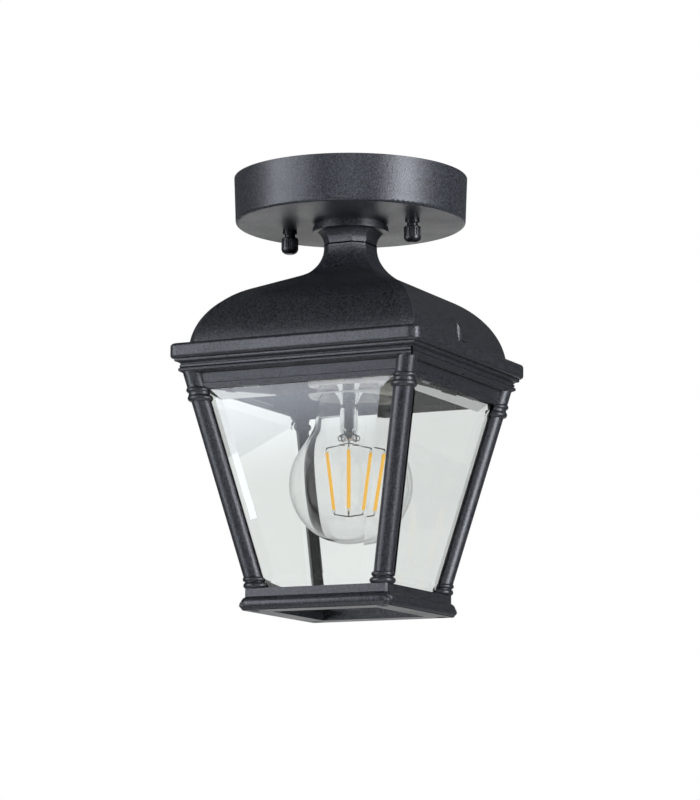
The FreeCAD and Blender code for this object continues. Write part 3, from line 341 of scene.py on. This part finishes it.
def grainedFinish(name, coat):
    material, tree = newMaterial(name)
    coords = addNode(tree, "ShaderNodeTexCoord")
    place = addNode(tree, "ShaderNodeMapping", {"Scale": coat.get("stretch", (1, 1, 1))},
                    {"Vector": coords.outputs["Object"]})
    grain = addNode(tree, "ShaderNodeTexNoise",
                    {"Scale": 1 / (coat["grainMm"] * mm), "Detail": 3.0, "Roughness": 0.65},
                    {"Vector": place.outputs[0]})
    peel = addNode(tree, "ShaderNodeTexNoise", {"Scale": 1 / (coat["peelMm"] * mm), "Detail": 1.0},
                   {"Vector": coords.outputs["Object"]})
    drift = addNode(tree, "ShaderNodeTexNoise",
                    {"Scale": 1 / (coatSpread["driftMm"] * mm), "Detail": 3.0, "Roughness": 0.6},
                    {"Vector": coords.outputs["Object"]})
    least, most = coatSpread["grainRange"]
    spread = addNode(tree, "ShaderNodeMapRange", {"From Min": least, "From Max": most},
                     {"Value": grain.outputs[0]})
    tone = addNode(tree, "ShaderNodeMix",
                   {"data_type": "RGBA", 6: paint(coat["tones"][0]), 7: paint(coat["tones"][1])},
                   {0: spread.outputs[0]})
    least, most = coatSpread["driftRange"]
    rough = addNode(tree, "ShaderNodeMapRange",
                    {"From Min": least, "From Max": most, "To Min": coat["rough"][0],
                     "To Max": coat["rough"][1]},
                    {"Value": drift.outputs[0]})
    coarse = addNode(tree, "ShaderNodeBump", {"Strength": 1.0, "Distance": coat["peelReliefMm"] * mm},
                     {"Height": peel.outputs[0]})
    fine = addNode(tree, "ShaderNodeBump", {"Strength": 1.0, "Distance": coat["reliefMm"] * mm},
                   {"Height": grain.outputs[0], "Normal": coarse.outputs[0]})
    colour = tone.outputs[2]
    seamShadowInputs = {}
    if "seam" in coat:  # painted shadow: a thin black line with its gloss cut, where the collar meets the roof, standing in for the shade in the gap between the two parts
        axis = addNode(tree, "ShaderNodeSeparateXYZ", None, {"Vector": coords.outputs["Object"]})
        away = addNode(tree, "ShaderNodeMath",
                       {"operation": "COMPARE", 1: coat["seam"]["level"], 2: coat["seam"]["half"]},
                       {0: axis.outputs["Z"]})
        seamShadowColour = addNode(tree, "ShaderNodeMix", {"data_type": "RGBA", 7: paint(coat["seam"]["tone"])},
                        {0: away.outputs[0], 6: tone.outputs[2]})
        # painted shadow: the gloss is cut on the line too, so it mirrors nothing, like a shaded gap
        bare = addNode(tree, "ShaderNodeMapRange", {"To Min": 0.5, "To Max": 0.02},
                       {"Value": away.outputs[0]})
        colour = seamShadowColour.outputs[2]
        seamShadowInputs["Specular IOR Level"] = bare.outputs[0]
    shader = addNode(tree, "ShaderNodeBsdfPrincipled",
                     {"Metallic": coat.get("metal", 0.0), "IOR": coat.get("ior", 1.5)},
                     {"Base Color": colour, "Roughness": rough.outputs[0],
                      "Normal": fine.outputs[0], **seamShadowInputs})
    addNode(tree, "ShaderNodeOutputMaterial", None, {"Surface": shader.outputs[0]})
    return material


# Clear glasses: nearly colourless faces, and a tint that grows with the length of glass looked through.
glasses = {
    # float glass with a ground and polished bevel; iron tints it green where it is seen edge on
    "bevelledFloatGlass": {"face": "#f7f9f8", "ior": 1.52, "rough": (0.0, 0.003), "hazeMm": 30.0,
                           "tint": "#9fd8c0", "perMetre": 5.0, "waveMm": 60.0, "waveReliefMm": 0.006},
    # blown soda glass: colourless, thin, with long soft waves from the mould
    "blownBulbGlass": {"face": "#fdfdfd", "ior": 1.47, "rough": (0.0, 0.006), "hazeMm": 22.0,
                       "tint": "#dfeaea", "perMetre": 8.0, "waveMm": 16.0, "waveReliefMm": 0.02},
    # the pressed stem: thicker, wavier glass
    "pressedStemGlass": {"face": "#f8fafa", "ior": 1.52, "rough": (0.0, 0.02), "hazeMm": 8.0,
                         "tint": "#dfeaea", "perMetre": 8.0, "waveMm": 3.0, "waveReliefMm": 0.15},
}
hazeRange = (0.45, 0.75)        # below it a pane is clear, above it as hazy as it gets


def clearFinish(name, glass):
    material, tree = newMaterial(name)
    coords = addNode(tree, "ShaderNodeTexCoord")
    haze = addNode(tree, "ShaderNodeTexNoise", {"Scale": 1 / (glass["hazeMm"] * mm), "Detail": 4.0},
                   {"Vector": coords.outputs["Object"]})
    rough = addNode(tree, "ShaderNodeMapRange",
                    {"From Min": hazeRange[0], "From Max": hazeRange[1],
                     "To Min": glass["rough"][0], "To Max": glass["rough"][1]},
                    {"Value": haze.outputs[0]})
    wave = addNode(tree, "ShaderNodeTexNoise", {"Scale": 1 / (glass["waveMm"] * mm), "Detail": 0.0},
                   {"Vector": coords.outputs["Object"]})
    bend = addNode(tree, "ShaderNodeBump", {"Strength": 1.0, "Distance": glass["waveReliefMm"] * mm},
                   {"Height": wave.outputs[0]})
    shader = addNode(tree, "ShaderNodeBsdfPrincipled",
                     {"Base Color": paint(glass["face"]), "IOR": glass["ior"], "Transmission Weight": 1.0},
                     {"Roughness": rough.outputs[0], "Normal": bend.outputs[0]})
    depth = addNode(tree, "ShaderNodeVolumeAbsorption",
                    {"Color": paint(glass["tint"]), "Density": glass["perMetre"]})
    addNode(tree, "ShaderNodeOutputMaterial", None,
            {"Surface": shader.outputs[0], "Volume": depth.outputs[0]})
    return material


# Filament sticks: amber phosphor in clear silicone on a strip, with bare steel at both ends.
filament = {"phosphor": ("#f7ac22", "#ffd052"), "ends": "#c9cac6", "endMm": 1.5, "grainMm": 0.5,
            "reliefMm": 0.02, "rough": (0.35, 0.55),
            "paintedGlow": 0.80}  # painted glow: the sticks give off their own colour at this strength, whatever light falls on them


def filamentFinish(stick):
    material, tree = newMaterial("phosphorSticks")
    low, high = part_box("bulb_filaments")
    coords = addNode(tree, "ShaderNodeTexCoord")
    axis = addNode(tree, "ShaderNodeSeparateXYZ", None, {"Vector": coords.outputs["Object"]})
    grain = addNode(tree, "ShaderNodeTexNoise", {"Scale": 1 / (stick["grainMm"] * mm), "Detail": 2.0},
                    {"Vector": coords.outputs["Object"]})
    tone = addNode(tree, "ShaderNodeMix",
                   {"data_type": "RGBA", 6: paint(stick["phosphor"][0]), 7: paint(stick["phosphor"][1])},
                   {0: grain.outputs[0]})
    middle = (low.z + high.z) / 2
    reach = (high.z - low.z) / 2 - stick["endMm"] * mm
    away = addNode(tree, "ShaderNodeMath", {"operation": "SUBTRACT", 1: middle}, {0: axis.outputs["Z"]})
    far = addNode(tree, "ShaderNodeMath", {"operation": "ABSOLUTE"}, {0: away.outputs[0]})
    isEnd = addNode(tree, "ShaderNodeMath", {"operation": "GREATER_THAN", 1: reach}, {0: far.outputs[0]})
    colour = addNode(tree, "ShaderNodeMix", {"data_type": "RGBA", 7: paint(stick["ends"])},
                     {0: isEnd.outputs[0], 6: tone.outputs[2]})
    relief = addNode(tree, "ShaderNodeBump", {"Strength": 1.0, "Distance": stick["reliefMm"] * mm},
                     {"Height": grain.outputs[0]})
    rough = addNode(tree, "ShaderNodeMapRange", {"To Min": stick["rough"][0], "To Max": stick["rough"][1]},
                    {"Value": grain.outputs[0]})
    # painted glow: emission in the sticks' own colour, though they are no lamp
    shader = addNode(tree, "ShaderNodeBsdfPrincipled", {"Emission Strength": stick["paintedGlow"]},
                     {"Base Color": colour.outputs[2], "Emission Color": colour.outputs[2],
                      "Roughness": rough.outputs[0], "Normal": relief.outputs[0]})
    addNode(tree, "ShaderNodeOutputMaterial", None, {"Surface": shader.outputs[0]})
    return material


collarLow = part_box("neck_collar")[0].z
# painted shadow of the gap under the neck collar: a black line on the cast coat at the collar's lower edge
finishes["powderCoatOnCasting"]["seam"] = {"level": collarLow, "half": 0.42 * mm, "tone": "#020202"}
made = {name: grainedFinish(name, f) for name, f in finishes.items()}
made.update({name: clearFinish(name, g) for name, g in glasses.items()})
made["phosphorSticks"] = filamentFinish(filament)

finishOfSlot = {
    "sheet_black": "powderCoatOnSheet", "cast_black": "powderCoatOnCasting", "nut_black": "powderCoatOnNuts",
    "screw_black": "blackOxide", "zinc_steel": "brightZinc", "spring_steel": "springStrip",
    "ground_green": "earthGreenLacquer", "pane_glass": "bevelledFloatGlass", "bulb_glass": "blownBulbGlass",
    "holder_aluminium": "spunAluminium", "porcelain": "glazedPorcelain", "shell_brass": "drawnBrass",
    "bulb_nickel": "nickelPlate", "black_insulator": "vitrite", "contact_tin": "solderTin",
    "filament_phosphor": "phosphorSticks", "wire_steel": "nickelIronWire", "lead_black": "siliconeBlack",
    "lead_white": "siliconeWhite", "connector_plastic": "mouldedOrange",
}
for part in frame["record"]["subparts"]:
    piece = nodes[part["node"]]
    name = "pressedStemGlass" if part["node"] == "bulb_stem" else finishOfSlot[part["material_slot"]]
    piece.data.materials.clear()
    piece.data.materials.append(made[name])
print("finishes on", len(nodes), "nodes")


# threads: one tree winds a ridge round any screw or tube
threadMesh = {"perTurn": 20, "ridgeSides": 4, "ridgeShare": 0.32}  # a ridge's radius over its pitch


def buildThreadTree():
    tree = bpy.data.node_groups.new("windThread", "GeometryNodeTree")
    face = tree.interface
    face.new_socket("Geometry", in_out="OUTPUT", socket_type="NodeSocketGeometry")
    wanted = {"Radius": "Float", "Pitch": "Float", "Turns": "Float", "Ridge": "Float", "Count": "Int",
              "Start": "Vector", "Step": "Vector", "Finish": "Material"}
    for name, kind in wanted.items():
        face.new_socket(name, in_out="INPUT", socket_type="NodeSocket" + kind)
    given = addNode(tree, "NodeGroupInput")
    height = addNode(tree, "ShaderNodeMath", {"operation": "MULTIPLY"},
                     {0: given.outputs["Pitch"], 1: given.outputs["Turns"]})
    spiral = addNode(tree, "GeometryNodeCurveSpiral", {"Resolution": threadMesh["perTurn"]},
                     {"Rotations": given.outputs["Turns"], "Start Radius": given.outputs["Radius"],
                      "End Radius": given.outputs["Radius"], "Height": height.outputs[0]})
    ridge = addNode(tree, "GeometryNodeCurvePrimitiveCircle", {"Resolution": threadMesh["ridgeSides"]},
                    {"Radius": given.outputs["Ridge"]})
    wound = addNode(tree, "GeometryNodeCurveToMesh", {"Fill Caps": True},
                    {"Curve": spiral.outputs[0], "Profile Curve": ridge.outputs[0]})
    row = addNode(tree, "GeometryNodeMeshLine", None,
                  {"Count": given.outputs["Count"], "Start Location": given.outputs["Start"],
                   "Offset": given.outputs["Step"]})
    each = addNode(tree, "GeometryNodeInstanceOnPoints", None,
                   {"Points": row.outputs[0], "Instance": wound.outputs[0]})
    real = addNode(tree, "GeometryNodeRealizeInstances", None, {"Geometry": each.outputs[0]})
    coated = addNode(tree, "GeometryNodeSetMaterial", None,
                     {"Geometry": real.outputs[0], "Material": given.outputs["Finish"]})
    addNode(tree, "NodeGroupOutput", None, {"Geometry": coated.outputs[0]})
    return tree


def windThread(tree, name, body, slotName, values):
    seed = bpy.data.objects.new(name + "Seed", bpy.data.meshes.new(name + "Seed"))
    bpy.context.scene.collection.objects.link(seed)
    modifier = seed.modifiers.new("wind", "NODES")
    modifier.node_group = tree
    sockets = {item.name: item.identifier for item in tree.interface.items_tree if item.in_out == "INPUT"}
    for key, value in values.items():
        modifier[sockets[key]] = value
    modifier[sockets["Finish"]] = made[finishOfSlot[slotName]]
    seed.data.update()
    bpy.context.view_layer.update()
    mesh = bpy.data.meshes.new_from_object(seed.evaluated_get(bpy.context.evaluated_depsgraph_get()))
    bpy.data.objects.remove(seed)
    mesh.name = name
    thread = bpy.data.objects.new(name, mesh)
    bpy.context.scene.collection.objects.link(thread)
    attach(thread, body)


def threadValues(node, radius, pitch, low, high, count=1, step=0.0):
    bottom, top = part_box(node)
    middle = (bottom + top) / 2
    start = (middle.x - step * (count - 1) / 2, middle.y, low)
    return {"Radius": radius, "Pitch": pitch, "Turns": (high - low) / pitch,
            "Ridge": pitch * threadMesh["ridgeShare"],
            "Count": count, "Start": start, "Step": (step, 0.0, 0.0)}


threads = {"studPitch": 0.7 * mm, "studRadius": 1.84 * mm,
           "nipplePitch": 0.94 * mm, "nippleRadius": 4.58 * mm,
           "screwPitch": 0.5 * mm, "screwRadius": 1.40 * mm, "screwHead": 2.6 * mm,
           "sunk": 0.8 * mm}             # how far a thread keeps from each end
threadTree = buildThreadTree()
studLow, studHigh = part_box("canopy_studs")
studSpacing = (studHigh.x - studLow.x) - (studHigh.y - studLow.y)  # both studs' box, less one stud's width
nippleLow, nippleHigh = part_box("threaded_nipple")
windThread(threadTree, "studThreads", "canopy_and_roof", "zinc_steel",
           threadValues("canopy_studs", threads["studRadius"], threads["studPitch"],
                        studLow.z + threads["sunk"], studHigh.z - threads["sunk"], 2, studSpacing))
windThread(threadTree, "nippleThread", "canopy_and_roof", "zinc_steel",
           threadValues("threaded_nipple", threads["nippleRadius"], threads["nipplePitch"],
                        nippleLow.z + threads["sunk"], nippleHigh.z - threads["sunk"]))
for side in ("left", "right"):
    screwLow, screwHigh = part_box("cage_screw_" + side)
    windThread(threadTree, "cageScrewThread." + side, "cage_screw_" + side, "screw_black",
               threadValues("cage_screw_" + side, threads["screwRadius"], threads["screwPitch"],
                            screwLow.z + threads["sunk"], screwHigh.z - threads["screwHead"]))
print("threads wound")


# the bulb's cap, with its rolled thread
capThread = {"pitch": 3.6 * mm, "crest": 13.05 * mm, "root": 12.35 * mm, "wall": 0.3 * mm,
             "around": 72, "perPitch": 10, "plainFoot": 1.6 * mm, "seat": 8.6 * mm, "shoulderDrop": 3.9 * mm,
             "endSheet": 0.4 * mm, "shoulderSheet": 0.3 * mm}


def rolledCap(thread):
    low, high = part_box("bulb_cap")
    n = thread["around"]
    shoulder = high.z - thread["shoulderDrop"]
    steps = int((shoulder - low.z) / (thread["pitch"] / thread["perPitch"]))
    rings = []
    for i in range(steps + 1):
        z = low.z + (shoulder - low.z) * i / steps
        fadeIn = min(1.0, max(0.0, (z - low.z - thread["plainFoot"]) / thread["pitch"]))
        fade = fadeIn * min(1.0, (shoulder - z) / thread["pitch"] * 2)
        ring = []
        for k in range(n):
            angle = 2 * math.pi * k / n
            wave = 0.5 + 0.5 * math.cos(2 * math.pi * (z - low.z) / thread["pitch"] - angle)
            r = thread["crest"] - (thread["crest"] - thread["root"]) * wave * fade
            ring.append((r * math.cos(angle), r * math.sin(angle), z))
        rings.append(ring)
    rings.append(ringAt(thread["seat"], high.z, n))
    rings.append(ringAt(thread["seat"], high.z - thread["endSheet"], n))
    rings.append(ringAt(thread["root"] - thread["wall"], shoulder - thread["shoulderSheet"], n))
    rings.append(ringAt(thread["root"] - thread["wall"], low.z, n))
    points = [point for ring in rings for point in ring]
    mesh = smoothMesh("bulbCapRolled", points, bandFaces(len(rings), n))
    cap = addPiece("bulbCapRolled", mesh, "nickelPlate", "bulb")
    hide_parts("bulb_cap")


rolledCap(capThread)
print("bulb cap rolled")


# the heavy round bead that the bottom frame stands on
footBead = {"radius": 3.5 * mm, "overhang": 0.75 * mm, "corner": 2.6 * mm, "around": 20, "perCorner": 6}


def squareBead(bead):
    low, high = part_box("bottom_frame")
    half = high.x + bead["overhang"] - bead["radius"]
    level = low.z + bead["radius"]
    centre = half - bead["corner"]
    path = []
    for k in range(4):
        turn = math.pi / 4 + math.pi / 2 * k
        x = math.copysign(centre, math.cos(turn))
        y = math.copysign(centre, math.sin(turn))
        for i in range(bead["perCorner"] + 1):
            angle = math.pi / 2 * (k + i / bead["perCorner"])
            path.append((x, y, angle))
    points = []
    for x, y, angle in path:
        for i in range(bead["around"]):
            swing = 2 * math.pi * i / bead["around"]
            reach = bead["corner"] + bead["radius"] * math.cos(swing)
            points.append((x + reach * math.cos(angle), y + reach * math.sin(angle),
                           level + bead["radius"] * math.sin(swing)))
    n = bead["around"]
    faces = []
    for j in range(len(path)):
        k = (j + 1) % len(path)
        for i in range(n):
            m = (i + 1) % n
            faces.append((j * n + i, k * n + i, k * n + m, j * n + m))
    addPiece("footBead", smoothMesh("footBead", points, faces), "powderCoatOnCasting", "cage")


squareBead(footBead)
print("foot bead swept")


# the bulb's stem: a drawn tube with a flare, a pinched foot and the exhaust tube inside
stem = {"wall": 0.9 * mm, "exhaustRadius": 1.7 * mm, "exhaustWall": 0.5 * mm, "exhaustRise": 9 * mm,
        "exhaustGap": 0.6 * mm, "pinch": 6.0 * mm, "around": 40, "tubeRadius": 4.6 * mm,
        "flareHeight": 8.0 * mm, "flareSteps": 8, "flareLip": 0.6, "waist": 0.8, "waistAt": 0.55,
        "tipRadius": 2.0 * mm, "tipRise": 0.6 * mm, "bore": 0.3 * mm, "boreTop": 0.75}


def lathe(name, loops, around, finishName, body):
    points, faces = [], []
    for loop in loops:
        faces += bandFaces(len(loop), around, len(points))
        for r, z in loop:
            points += ringAt(r, z, around)
    return addPiece(name, smoothMesh(name, points, faces), finishName, body)


def drawnStem(sizes):
    low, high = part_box("bulb_stem")
    tube = sizes["tubeRadius"]
    wall = sizes["wall"]
    pinch = low.z + sizes["pinch"]

    def flare(inset, lift):  # the tube's end opens like a trumpet to the stem's full width
        line = []
        for i in range(sizes["flareSteps"] + 1):
            swing = math.pi / 2 * (i / sizes["flareSteps"])
            line.append((tube - inset + (high.x - tube) * (1 - math.sin(swing)),
                         high.z + lift - sizes["flareHeight"] * (1 - math.cos(swing))))
        return line

    outer = flare(0, 0) + [(tube, pinch), (tube * sizes["waist"], low.z + sizes["pinch"] * sizes["waistAt"]),
                           (sizes["tipRadius"], low.z + sizes["tipRise"]), (sizes["bore"], low.z)]
    inner = [(sizes["bore"], low.z + sizes["pinch"] * sizes["boreTop"]), (tube - wall, pinch + wall)]
    inner += flare(wall, wall * sizes["flareLip"])[::-1]
    r = sizes["exhaustRadius"]
    bore = r - sizes["exhaustWall"]
    top = high.z + sizes["exhaustRise"]
    foot = pinch + sizes["exhaustGap"]
    exhaust = [(r, top), (r, foot), (bore, foot), (bore, top)]
    loops = [outer + inner, exhaust]
    piece = lathe("stemDrawn", loops, sizes["around"], "pressedStemGlass", "bulb")
    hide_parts("bulb_stem")


drawnStem(stem)
print("stem drawn")


# hooks and ring where the filaments meet the stem
hooks = {"ringRadius": 4.7 * mm, "ringRise": 3.1 * mm, "wire": 0.28 * mm, "count": 8, "around": 32,
         "hookReach": 1.7 * mm, "hookFall": 2.6 * mm,
         "bends": ((0.5, -0.35), (0.2, -1.0), (-1.0, -0.9))}  # shares of a hook's reach and fall


def tubeMesh(name, runs, radius, closed):
    curve = bpy.data.curves.new(name + "Line", "CURVE")
    curve.dimensions = "3D"
    curve.bevel_depth = radius
    curve.bevel_resolution = 2
    curve.use_fill_caps = True
    for run, loop in zip(runs, closed):
        spline = curve.splines.new("POLY")
        spline.points.add(len(run) - 1)
        for point, place in zip(spline.points, run):
            point.co = (*place, 1.0)
        spline.use_cyclic_u = loop
    line = bpy.data.objects.new(name + "Line", curve)
    bpy.context.scene.collection.objects.link(line)
    bpy.context.view_layer.update()
    mesh = bpy.data.meshes.new_from_object(line.evaluated_get(bpy.context.evaluated_depsgraph_get()))
    bpy.data.objects.remove(line)
    mesh.name = name
    return mesh


def stemHooks(hook):
    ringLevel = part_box("bulb_stem")[0].z + hook["ringRise"]  # above the stem's foot
    runs = [ringAt(hook["ringRadius"], ringLevel, hook["around"])]
    for k in range(hook["count"]):
        angle = 2 * math.pi * (k + 0.5) / hook["count"]
        out = Vector((math.cos(angle), math.sin(angle), 0))
        base = out * hook["ringRadius"] + Vector((0, 0, ringLevel))
        bends = [base + out * hook["hookReach"] * reach + Vector((0, 0, hook["hookFall"] * fall))
                 for reach, fall in hook["bends"]]
        runs.append([base] + bends)
    mesh = tubeMesh("stemHooks", runs, hook["wire"], [True] + [False] * hook["count"])
    addPiece("stemHooks", mesh, "nickelIronWire", "bulb")


stemHooks(hooks)
print("stem hooks bent")
